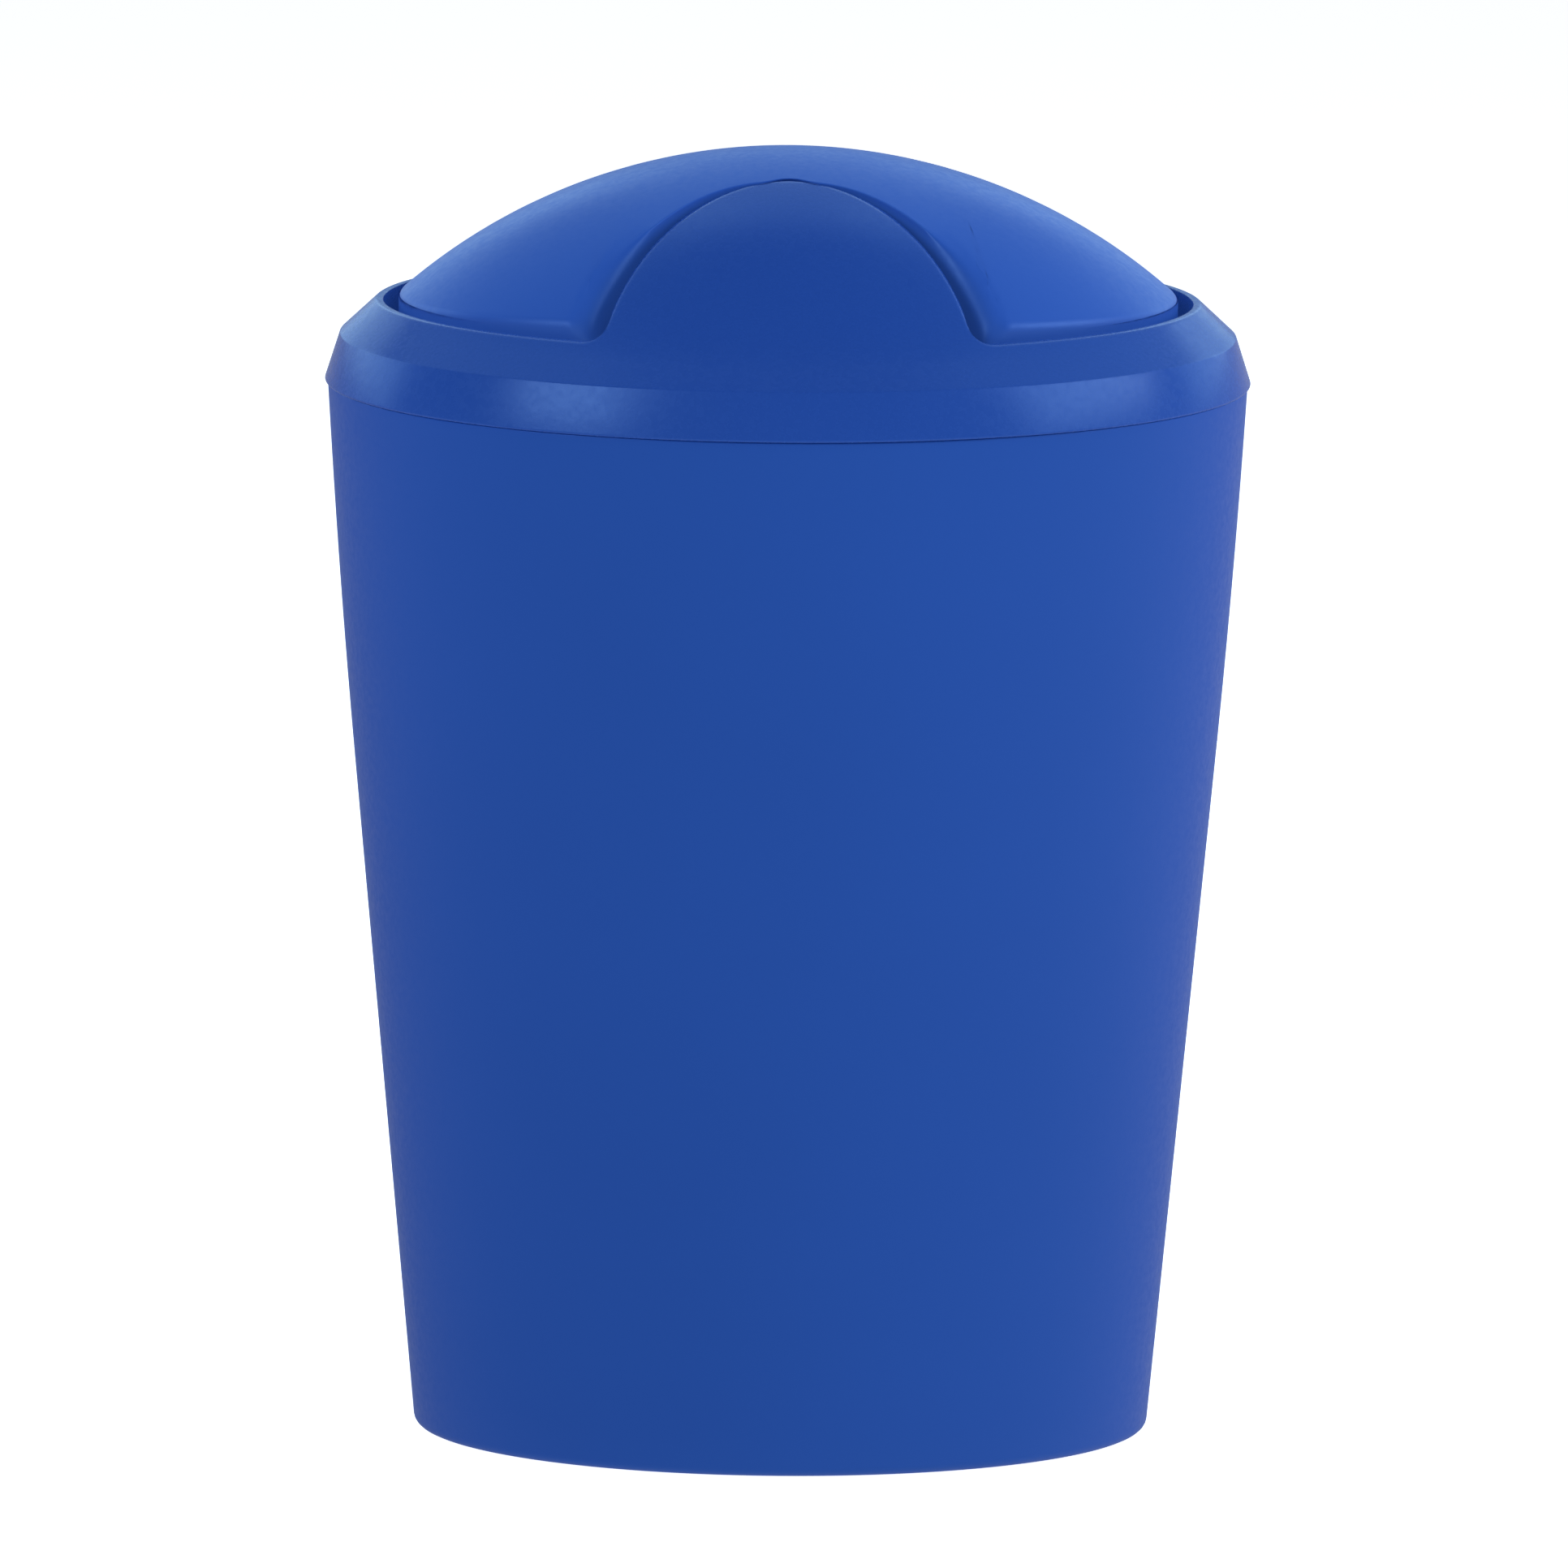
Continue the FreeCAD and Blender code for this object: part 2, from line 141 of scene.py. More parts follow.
def bucket_half_length(z):
    """Half length of the bucket's outer oval at a height."""
    eased = max(z - STRAIGHT_HEIGHT, 0.0)
    return BASE_HALF_LENGTH + z * SIDE_SLOPE - eased ** 2 / (2 * EASING_RADIUS)


def dome_height(x, y, inset=0.0):
    """Height of the dome's surface over a point in plan."""
    radius = DOME_RADIUS - inset
    inside = 1 - (x / radius) ** 2 - (y / (DOME_HALF_DEPTH - inset)) ** 2
    return DOME_CENTRE + radius * math.sqrt(max(inside, 0.0))


def eased_run(low, high, run_low, run_high, slope_low, slope_high, z):
    """Half size at height z between two heights, with the slope at each end."""
    span = high - low
    s = (z - low) / span
    value = (2 * s ** 3 - 3 * s ** 2 + 1) * run_low + (3 * s ** 2 - 2 * s ** 3) * run_high
    return value + span * ((s ** 3 - 2 * s ** 2 + s) * slope_low + (s ** 3 - s ** 2) * slope_high)


def dome_ratio(z):
    """Size of the dome's level section at a height, and how fast it changes."""
    up = (z - DOME_CENTRE) / DOME_RADIUS
    ratio = math.sqrt(1 - up ** 2)
    return ratio, -up / (DOME_RADIUS * ratio)


def hill_half_sizes(z):
    """Half length and half depth of the collar's slope and, above it, of the tongues."""
    slopes = [(MOUTH[i] - CREASE[i]) / (MOUTH_HEIGHT - CREASE_HEIGHT) for i in (0, 1)]
    sizes = []
    for i, (low, high) in enumerate(EASING_HEIGHTS):
        dome = DOME_HALF_SIZES[i]
        if z <= low:
            sizes.append(MOUTH[i] + (z - MOUTH_HEIGHT) * slopes[i])
        elif z >= high:
            sizes.append(dome * dome_ratio(z)[0] + TONGUE_PROUD)
        else:
            ratio, change = dome_ratio(high)
            low_size = MOUTH[i] + (low - MOUTH_HEIGHT) * slopes[i]
            high_size = dome * ratio + TONGUE_PROUD
            sizes.append(eased_run(low, high, low_size, high_size, slopes[i], dome * change, z))
    return sizes


def tongue_edge(turn):
    """Place on a tongue's arched edge, by the angle from its top: side, height and depth."""
    x = TONGUE_RADIUS * math.sin(turn)
    z = TONGUE_CENTRE + TONGUE_RADIUS * math.cos(turn)
    along = math.hypot(x, z - DOME_CENTRE) / DOME_RADIUS
    return x, z, DOME_HALF_DEPTH * math.sqrt(1 - along ** 2)


def read_off(pairs, value):
    """Second value of a rising list of pairs at a first value, held at the ends."""
    if value <= pairs[0][0]:
        return pairs[0][1]
    for (a, first), (b, second) in zip(pairs, pairs[1:]):
        if value <= b:
            return first + (second - first) * (value - a) / (b - a)
    return pairs[-1][1]


def pocket_wall(grown):
    """Depth and distance from the pivot axis along a pocket's wall, moved outwards by grown."""
    foot = math.acos((MOUTH_HEIGHT - TONGUE_CENTRE) / TONGUE_RADIUS)
    points = [Vector((POCKET_FLOOR, POCKET_FLOOR_RADIUS))]
    for step in range(13):
        share = step / 12
        x, z, depth = tongue_edge(share * foot)
        stand_off = read_off(POCKET_STAND_OFF, share)
        points.append(Vector((depth, math.hypot(x, z - PIVOT_HEIGHT) + stand_off)))
    last_run = points[-1] - points[-2]
    points.append(points[-1] + last_run * ((DOME_HALF_DEPTH - points[-1].x) / last_run.x))
    for _ in range(3):
        cuts = [a.lerp(b, share) for a, b in zip(points, points[1:]) for share in (0.25, 0.75)]
        points = points[:1] + cuts + points[-1:]
    wall = []
    for index, (depth, distance) in enumerate(points):
        before = points[max(index - 1, 0)]
        after = points[min(index + 1, len(points) - 1)]
        lean = math.atan2(after[1] - before[1], after[0] - before[0])
        wall.append((depth - grown * math.sin(lean), distance + grown * math.cos(lean)))
    wall[0] = (POCKET_FLOOR - grown, wall[0][1])
    return wall


# Skins: each is a circle primitive whose rows are extruded one after another


def begin_skin(name, row):
    """A circle primitive with a vertex for each place in the first row, left in edit mode."""
    bpy.ops.object.select_all(action="DESELECT")
    bpy.ops.mesh.primitive_circle_add(vertices=len(row), radius=MM)
    piece = bpy.context.object
    piece.name = piece.data.name = name
    bpy.ops.object.mode_set(mode="EDIT")
    bpy.ops.mesh.select_all(action="SELECT")
    shape = bmesh.from_edit_mesh(piece.data)
    column = shape.verts.layers.int.new("column")
    for index, vertex in enumerate(shape.verts):
        vertex[column] = index
    put_row(piece, row)
    return piece


def put_row(piece, row):
    """Move the selected vertices to their places in a row."""
    shape = bmesh.from_edit_mesh(piece.data)
    column = shape.verts.layers.int["column"]
    for vertex in shape.verts:
        if vertex.select:
            vertex.co = Vector(row[vertex[column]]) * MM
    bmesh.update_edit_mesh(piece.data)


def extend_skin(piece, rows):
    """Extrude the selected edges once for each row."""
    for row in rows:
        bpy.ops.mesh.extrude_region()
        put_row(piece, row)


def keep_selected(piece, columns):
    """Of the selected edges, keep those that lie within the columns."""
    shape = bmesh.from_edit_mesh(piece.data)
    column = shape.verts.layers.int["column"]
    kept = [e for e in shape.edges if e.select and all(v[column] in columns for v in e.verts)]
    bpy.ops.mesh.select_all(action="DESELECT")
    bpy.ops.mesh.select_mode(type="EDGE")
    shape = bmesh.from_edit_mesh(piece.data)
    for edge in kept:
        edge.select_set(True)
    bmesh.update_edit_mesh(piece.data)


def weld_skin(filled):
    """Weld what meets, fill open loops where asked, and turn every face outwards."""
    bpy.ops.mesh.select_mode(type="VERT")
    bpy.ops.mesh.select_all(action="SELECT")
    bpy.ops.mesh.remove_doubles(threshold=0.004 * MM)
    if filled:
        bpy.ops.mesh.fill_holes(sides=0)
    bpy.ops.mesh.select_all(action="SELECT")
    bpy.ops.mesh.normals_make_consistent(inside=False)
    bpy.ops.object.mode_set(mode="OBJECT")


def join_pieces(pieces):
    """Join meshes into the first one."""
    bpy.ops.object.select_all(action="DESELECT")
    for piece in pieces:
        piece.select_set(True)
    bpy.context.view_layer.objects.active = pieces[0]
    bpy.ops.object.join()
    return pieces[0]


def cut_away(piece, tool):
    """Cut a tool's solid out of a piece and remove the tool."""
    bpy.ops.object.select_all(action="DESELECT")
    bpy.context.view_layer.objects.active = piece
    piece.select_set(True)
    cut = piece.modifiers.new("cut", "BOOLEAN")
    cut.operation = "DIFFERENCE"
    cut.solver = "EXACT"
    cut.object = tool
    bpy.ops.object.modifier_apply(modifier=cut.name)
    bpy.data.objects.remove(tool)


def finish_skin(piece):
    """Smooth shading with crisp corners, and no working data left on the mesh."""
    bpy.ops.object.select_all(action="DESELECT")
    bpy.context.view_layer.objects.active = piece
    piece.select_set(True)
    bpy.ops.object.shade_smooth_by_angle(angle=math.radians(32))
    left = piece.data.attributes.get("column")
    if left:
        piece.data.attributes.remove(left)


def rounded(corners, steps=5):
    """A profile from corners given as distance, height and rounding."""
    path = []
    for index, (distance, height, radius) in enumerate(corners):
        here = Vector((distance, height))
        if radius == 0:
            path.append(here)
            continue
        to_last = (Vector(corners[index - 1][:2]) - here).normalized()
        to_next = (Vector(corners[index + 1][:2]) - here).normalized()
        half = to_last.angle(to_next) / 2
        reach = radius / math.tan(half)
        middle = here + (to_last + to_next).normalized() * (radius / math.sin(half))
        arm = here + to_last * reach - middle
        turn = arm.angle_signed(here + to_next * reach - middle)
        for step in range(steps + 1):
            angle = -turn * step / steps
            across = Vector((-arm.y, arm.x))
            path.append(middle + arm * math.cos(angle) + across * math.sin(angle))
    return path


def oval_row(half_length, half_depth, z, count):
    """Places around an oval at a height."""
    turns = [2 * math.pi * index / count for index in range(count)]
    return [(half_length * math.cos(t), half_depth * math.sin(t), z) for t in turns]


# Bucket


def make_bucket():
    """Bucket with a foot ring, a rounded base corner, a plain rim and a flat floor."""
    side = [12, 40, 70, 100, 130, 155, 170, 180, 190, 200, 210, 220, 230, 240, 250, 258, 262]
    rim = bucket_half_length(RIM_HEIGHT)
    corners = [(50.0, FOOT_RECESS, 0), (FOOT_INSIDE, FOOT_RECESS, 0.8), (FOOT_INSIDE, 0.0, 0.8)]
    corners += [(BASE_HALF_LENGTH, 0.0, 2.6)]
    corners += [(bucket_half_length(z), z, 0) for z in side]
    corners += [(rim, RIM_HEIGHT, 0.5), (rim - BUCKET_WALL, RIM_HEIGHT, 0.5)]
    corners += [(bucket_half_length(z) - BUCKET_WALL, z, 0) for z in reversed(side)]
    corners += [(bucket_half_length(FLOOR_TOP) - BUCKET_WALL, FLOOR_TOP, 3.0), (50.0, FLOOR_TOP, 0)]
    rows = [oval_row(p.x, p.x - OVAL_INSET, p.y, 288) for p in rounded(corners)]
    piece = begin_skin("bucket_moulding", rows[0])
    extend_skin(piece, rows[1:])
    weld_skin(filled=True)
    finish_skin(piece)
    return piece


# Lid collar


def edge_height(x):
    """Height of the collar's upper edge at a distance from the middle: level, flare and arch."""
    flare_height = MOUTH_HEIGHT + FLARE_RADIUS
    reach = TONGUE_RADIUS + FLARE_RADIUS
    flare_x = math.sqrt(reach ** 2 - (flare_height - TONGUE_CENTRE) ** 2)
    join_x = flare_x * TONGUE_RADIUS / reach
    if abs(x) >= flare_x:
        return MOUTH_HEIGHT
    if abs(x) >= join_x:
        return flare_height - math.sqrt(FLARE_RADIUS ** 2 - (flare_x - abs(x)) ** 2)
    return TONGUE_CENTRE + math.sqrt(TONGUE_RADIUS ** 2 - x ** 2)


def hill_place(turn, z, inward=0.0, down=0.0):
    """Place on the collar's slope or tongue, at a turn around the oval and a height."""
    half_length, half_depth = hill_half_sizes(z + down)
    if z <= MOUTH_HEIGHT:
        return Vector((half_length * math.cos(turn), half_depth * math.sin(turn), z))
    x = MOUTH[0] * math.cos(turn)
    across = 1 - (x / (half_length - inward)) ** 2
    y = (half_depth - inward) * math.sqrt(max(across, 0.0))
    return Vector((x, math.copysign(y, math.sin(turn)), z))


def along_path(points, share):
    """Place at a share of a path's length."""
    lengths = [0.0]
    for a, b in zip(points, points[1:]):
        lengths.append(lengths[-1] + (b - a).length)
    target = share * lengths[-1]
    for index in range(len(points) - 1):
        if target <= lengths[index + 1]:
            span = lengths[index + 1] - lengths[index]
            return points[index].lerp(points[index + 1], (target - lengths[index]) / span)
    return points[-1]


def inner_place(turn, z, share, wall):
    """Place on the inner face of a tongue, or of the mouth's skirt below and beside it."""
    half_length, half_depth = MOUTH[0] - SKIRT_WALL, MOUTH[1] - SKIRT_WALL
    skirt = Vector((half_length * math.cos(turn), half_depth * math.sin(turn), z))
    if z <= MOUTH_HEIGHT - 1 or share == 0:
        return skirt
    tongue = hill_place(turn, max(z, MOUTH_HEIGHT + 0.01), TONGUE_WALL_IN, TONGUE_WALL_DOWN)
    tongue.z = z
    clear = read_off(wall, math.hypot(tongue.x, z - PIVOT_HEIGHT)) + RUNNING_GAP
    tongue.y = math.copysign(max(abs(tongue.y), clear), tongue.y)
    return skirt.lerp(tongue, share * smooth_step((z - MOUTH_HEIGHT + 1) / 6))


def collar_columns(count):
    """For each turn around the oval: places from the crease, over the edge, to the skirt's foot."""
    wall = [(distance, depth) for depth, distance in pocket_wall(0.0)]
    foot = CREASE_HEIGHT + 0.6
    edges, outers = [], []
    for index in range(count):
        turn = 2 * math.pi * index / count
        top = edge_height(MOUTH[0] * math.cos(turn))
        outer = [hill_place(turn, foot + (top - foot) * step / 60) for step in range(61)]
        outers.append((turn, top, outer))
        edges.append(outer[-1])
    columns = []
    for index, (turn, top, outer) in enumerate(outers):
        edge = outer[-1]
        share = smooth_step((top - MOUTH_HEIGHT) / 7)
        corner = inner_place(turn, top, share, wall)
        run = (edges[(index + 1) % count] - edges[index - 1]).normalized()
        down = (outer[-2] - edge).normalized()
        inward = (corner - edge).normalized()
        length = sum((b - a).length for a, b in zip(outer, outer[1:]))
        outer_reach = min(EDGE_REACH / max(down.cross(run).length, 0.3), length / 3)
        inner_reach = min(EDGE_REACH / max(inward.cross(run).length, 0.3), (corner - edge).length * 0.6)
        column = [along_path(outer, step / 36 * (1 - outer_reach / length)) for step in range(37)]
        start = column[-1]
        end = edge + inward * inner_reach
        column += [bent(start, edge, end, step / 6) for step in range(1, 7)]
        inner = []
        for step in range(25):
            inner.append(inner_place(turn, top + (SKIRT_BOTTOM - top) * step / 24, share, wall))
        below = (inner[1] - corner).normalized()
        start = corner - inward * INNER_ROUNDING
        end = corner + below * INNER_ROUNDING
        column += [bent(start, corner, end, step / 3) for step in range(4)]
        inner_length = sum((b - a).length for a, b in zip(inner, inner[1:]))
        first = INNER_ROUNDING / inner_length
        column += [along_path(inner, first + (1 - first) * step / 16) for step in range(1, 17)]
        columns.append(column)
    return columns


def make_collar_shell(count=720):
    """Lip, band, crease, slope, tongues, mouth skirt and plug ring in one closed skin."""
    band = rounded([
        (LIP[0] - BAND_WALL, RIM_HEIGHT, 0),
        (LIP[0], RIM_HEIGHT, 0.5),
        (CREASE[0], CREASE_HEIGHT, 0.8),
        (CREASE[0] - 0.6 * (CREASE[0] - MOUTH[0]) / (MOUTH_HEIGHT - CREASE_HEIGHT), CREASE_HEIGHT + 0.6, 0),
    ])
    rows = []
    for place in band[:-1]:
        over = (place.y - CREASE_HEIGHT) / (MOUTH_HEIGHT - CREASE_HEIGHT)
        depth = place.x - OVAL_INSET - max(over, 0.0) * 3.0
        rows.append(oval_row(place.x, depth, place.y, count))
    columns = collar_columns(count)
    rows += [[column[index] for column in columns] for index in range(len(columns[0]))]
    skirt_top = 282.3
    for half_length, half_depth, z in (
        (MOUTH[0], MOUTH[1], SKIRT_BOTTOM),
        (MOUTH[0], MOUTH[1], skirt_top),
        (PLUG[0] - PLUG_WALL, PLUG[1] - PLUG_WALL, 275.7),
        (PLUG[0] - PLUG_WALL, PLUG[1] - PLUG_WALL, PLUG_BOTTOM + 0.4),
        (PLUG[0] - PLUG_WALL + 0.4, PLUG[1] - PLUG_WALL + 0.4, PLUG_BOTTOM),
        (PLUG[0] - 0.6, PLUG[1] - 0.6, PLUG_BOTTOM),
        (PLUG[0], PLUG[1], PLUG_BOTTOM + 0.6),
        (PLUG[0], PLUG[1], RIM_HEIGHT + (LIP[0] - BAND_WALL - PLUG[0]) / BAND_LEAN),
        (LIP[0] - BAND_WALL, LIP[1] - BAND_WALL, RIM_HEIGHT),
    ):
        rows.append(oval_row(half_length, half_depth, z, count))
    piece = begin_skin("lid_moulding", rows[0])
    extend_skin(piece, rows[1:])
    weld_skin(filled=False)
    return piece


def make_boss(side):
    """Boss behind a tongue with a blind hole for the pivot pin."""

    def ring(radius, depth, count=64):
        turns = [2 * math.pi * index / count for index in range(count)]
        return [(radius * math.cos(t), side * depth, PIVOT_HEIGHT + radius * math.sin(t)) for t in turns]

    root = []
    for x, y, z in ring(BOSS_RADIUS, 0.0):
        half_length, half_depth = hill_half_sizes(z)
        root.append((x, side * (half_depth * math.sqrt(1 - (x / half_length) ** 2) - 1.3), z))
    piece = begin_skin("boss", root)
    extend_skin(piece, [
        ring(BOSS_RADIUS, BOSS_END + 0.3),
        ring(BOSS_RADIUS - 0.3, BOSS_END),
        ring(BOSS_HOLE_RADIUS + 0.3, BOSS_END),
        ring(BOSS_HOLE_RADIUS, BOSS_END + 0.3),
        ring(BOSS_HOLE_RADIUS, BOSS_HOLE_END),
    ])
    weld_skin(filled=True)
    return piece


def make_gusset(side):
    """Thin web under a boss that stays clear of the flap's pocket."""
    wall = [(distance, depth) for depth, distance in pocket_wall(0.0)]
    outline = []
    for step in range(9):
        z = PIVOT_HEIGHT - 12 * step / 8
        outline.append((max(read_off(wall, PIVOT_HEIGHT - z) + 1.2, BOSS_END + 0.5), z))
    for step in range(9):
        z = PIVOT_HEIGHT - 12 + 12 * step / 8
        outline.append((hill_half_sizes(z)[1] - 1.3, z))
    piece = begin_skin("gusset", [(-1.0, side * depth, z) for depth, z in outline])
    extend_skin(piece, [[(1.0, side * depth, z) for depth, z in outline]])
    weld_skin(filled=True)
    return piece


def make_collar():
    """Lid collar with its bosses and webs."""
    pieces = [make_collar_shell()]
    for side in (-1, 1):
        pieces += [make_boss(side), make_gusset(side)]
    piece = join_pieces(pieces)
    finish_skin(piece)
    return piece


# Flap


WING_STEPS = 150
POCKET_STEPS = 180
CENTRE_SHARE = 0.72
# Rows of the dome from its middle to its rim, closer together towards the rim
CROWN_SHARES = (
    0.0, 0.08, 0.16, 0.24, 0.32, 0.4, 0.48, 0.55, 0.62, 0.68,
    0.74, 0.79, 0.84, 0.88, 0.915, 0.945, 0.97, 0.985, 0.994, 1.0,
)
SOFT_FROM = 0.86
SOFTENING_REACH = 4.5
SOFTENING_ROUNDS = 60


def wing_row(spec, share, level=None):
    """Right-hand wing row, front corner to rear corner, at a share of the edge's rounding or a level."""
    round_width = spec["round_width"]

    def on_dome(turn, grown):
        x = (spec["crown"][0] + grown) * math.cos(turn)
        y = (spec["crown"][1] + grown) * math.sin(turn)
        return Vector((x, y, dome_height(x, y, spec["inset"])))

    def place(turn):
        corner = on_dome(turn, round_width)
        end = corner - Vector((0, 0, 1.5 * round_width))
        if level is not None:
            end.z = level
        return bent(on_dome(turn, 0.0), corner, end, share)

    def outside(turn):
        here = place(turn)
        return math.hypot(here.x, here.z - PIVOT_HEIGHT) - read_off(spec["wall"], abs(here.y))

    corner = bisect(outside, 0.1, 1.35)
    return [place(corner * (2 * step / WING_STEPS - 1)) for step in range(WING_STEPS + 1)]


def pocket_place(spec, turn, distance):
    """Place on the front pocket's wall, by the turn from straight up and the distance from the axis."""
    depth = read_off(spec["inverse"], distance)
    return Vector((distance * math.sin(turn), -depth, PIVOT_HEIGHT + distance * math.cos(turn)))


def pocket_edge(spec, turn):
    """Where the front pocket's wall meets the dome at a turn from straight up."""
    radius, half_depth = DOME_RADIUS - spec["inset"], DOME_HALF_DEPTH - spec["inset"]

    def out_of_dome(distance):
        here = pocket_place(spec, turn, distance)
        along = math.hypot(here.x, here.z - DOME_CENTRE) / radius
        return along ** 2 + (here.y / half_depth) ** 2 - 1

    return pocket_place(spec, turn, bisect(out_of_dome, spec["inverse"][0][0], 80.0))


def pocket_stations(spec, corner):
    """Front pocket's rounded edge from left to right: start on the dome, corner, end on the wall."""
    last = abs(math.atan2(corner.x, corner.z - PIVOT_HEIGHT))
    turns = [last * (2 * step / POCKET_STEPS - 1) for step in range(POCKET_STEPS + 1)]
    edge = [pocket_edge(spec, turn) for turn in turns]
    edge[0] = Vector((-corner.x, corner.y, corner.z))
    edge[-1] = corner.copy()
    stations = []
    for index, (turn, here) in enumerate(zip(turns, edge)):
        share = abs(turn) / last
        reach = spec["reach"](share)
        run = (edge[min(index + 1, POCKET_STEPS)] - edge[max(index - 1, 0)]).normalized()
        up = Vector((
            here.x / DOME_RADIUS ** 2,
            here.y / DOME_HALF_DEPTH ** 2,
            (here.z - DOME_CENTRE) / DOME_RADIUS ** 2,
        ))
        away = run.cross(up.normalized()).normalized()
        if away.dot(Vector((here.x * CENTRE_SHARE, 0, here.z)) - here) < 0:
            away = -away
        start = here + away * (reach * smooth_step((1 - share) / 0.06))
        start.z = dome_height(start.x, start.y, spec["inset"])
        if index in (0, POCKET_STEPS):
            start = here.copy()
        distance = math.hypot(here.x, here.z - PIVOT_HEIGHT)
        down = 0.3 + 0.45 * reach
        end = pocket_place(spec, turn, max(distance - down, spec["inverse"][0][0] + 0.4))
        stations.append((turn, start, here, end))
    return stations


def mirrored(places, x_sign, y_sign):
    """Copies of places, mirrored to another quarter of the flap."""
    return [Vector((x_sign * p.x, y_sign * p.y, p.z)) for p in places]


def crown_loop(wing, pocket):
    """Closed loop over the right wing, rear pocket, left wing and front pocket."""
    loop = list(wing)
    loop += list(reversed(mirrored(pocket[1:-1], 1, -1)))
    loop += mirrored(wing, -1, -1)
    loop += pocket[1:-1]
    return loop


def make_crown(name, spec):
    """Domed skin with its rounded edge and skirt, open below and at the pockets."""
    wing_rows = [wing_row(spec, *row) for row in spec["rows"]]
    stations = pocket_stations(spec, wing_rows[0][0])
    rim = crown_loop(wing_rows[0], [start for _, start, _, _ in stations])
    rows = []
    for share in CROWN_SHARES:
        row = []
        for place in rim:
            x = place.x * (CENTRE_SHARE + (1 - CENTRE_SHARE) * share)
            y = place.y * share
            row.append(Vector((x, y, dome_height(x, y, spec["inset"]))))
        rows.append(row)
    rows[-1] = rim
    piece = begin_skin(name, rows[0])
    extend_skin(piece, rows[1:])
    left = WING_STEPS + POCKET_STEPS
    wing_columns = set(range(WING_STEPS + 1)) | set(range(left, left + WING_STEPS + 1))
    keep_selected(piece, wing_columns)
    gap = [Vector()] * (POCKET_STEPS - 1)
    for wing in wing_rows[1:]:
        extend_skin(piece, [wing + gap + mirrored(wing, -1, -1) + gap])
    bpy.ops.object.mode_set(mode="OBJECT")
    return piece, stations, [row[0] for row in wing_rows]


def make_pocket(spec, stations, corner_edge, side):
    """Bowl around the pivot axis, from the dome's rounded edge to the floor behind the boss."""
    columns = []
    floor = spec["inverse"][0][0]
    for turn, start, corner, end in stations:
        rounding = [bent(start, corner, end, step / 6) for step in range(7)]
        columns.append((rounding, turn, math.hypot(end.x, end.z - PIVOT_HEIGHT)))

    def plain(here):
        turn = math.atan2(here.x, here.z - PIVOT_HEIGHT)
        distance = math.hypot(here.x, here.z - PIVOT_HEIGHT)
        steps = [pocket_place(spec, turn, distance - 0.1 * step) for step in range(7)]
        steps[0] = here
        return steps, turn, distance - 0.6

    right = [plain(place) for place in corner_edge[1:]]
    last = right[-1][1]
    bottom = []
    for step in range(1, 60):
        turn = last + (2 * math.pi - 2 * last) * step / 60
        distance = (PIVOT_HEIGHT - corner_edge[-1].z) / -math.cos(turn)
        bottom.append(plain(pocket_place(spec, turn, distance)))
    left = [plain(Vector((-place.x, place.y, place.z))) for place in reversed(corner_edge[1:])]
    columns += right + bottom + left
    rows = [[rounding[index] for rounding, _, _ in columns] for index in range(7)]
    for step in range(1, 17):
        rows.append([pocket_place(spec, t, d + (floor - d) * step / 16) for _, t, d in columns])
    if side > 0:
        rows = [mirrored(row, 1, -1) for row in rows]
    piece = begin_skin("pocket", rows[0])
    extend_skin(piece, rows[1:])
    bpy.ops.mesh.edge_face_add()
    bpy.ops.object.mode_set(mode="OBJECT")
    return piece


def make_flap_solid(name, spec):
    """Closed form of the flap, or of the hollow in it."""
    crown, stations, corner_edge = make_crown(name, spec)
    pieces = [crown] + [make_pocket(spec, stations, corner_edge, side) for side in (-1, 1)]
    piece = join_pieces(pieces)
    bpy.ops.object.mode_set(mode="EDIT")
    weld_skin(filled=True)
    low_edge = [here for turn, _, here, _ in stations if turn > SOFT_FROM * stations[-1][0]]
    return piece, low_edge + corner_edge


def soften_corners(piece, line, reach, repeats):
    """Smooth the skin around a line near the front right corner, and alike at the other corners."""
    bpy.ops.object.mode_set(mode="EDIT")
    bpy.ops.mesh.select_mode(type="VERT")
    bpy.ops.mesh.select_all(action="DESELECT")
    shape = bmesh.from_edit_mesh(piece.data)
    for vertex in shape.verts:
        here = Vector((abs(vertex.co.x), -abs(vertex.co.y), vertex.co.z)) / MM
        if here.z > FLAP_BOTTOM + 1 and min((here - place).length for place in line) < reach:
            vertex.select_set(True)
    bmesh.update_edit_mesh(piece.data)
    bpy.ops.mesh.vertices_smooth(factor=0.5, repeat=repeats)
    bpy.ops.object.mode_set(mode="OBJECT")


def flap_spec(inset, crown, round_width, rows, reach):
    """What a flap skin follows: dome, oval, pocket wall, rounded edge and rounding of the pockets."""
    wall = pocket_wall(inset)
    return {
        "inset": inset,
        "crown": crown,
        "round_width": round_width,
        "rows": rows,
        "reach": reach,
        "wall": wall,
        "inverse": [(distance, depth) for depth, distance in wall],
    }


def edge_reach(share):
    """How far the pocket's rounding reaches: crisp above, soft low on the flanks."""
    return 0.4 + 4.6 * smooth_step((share - SOFT_FROM) / 0.11)


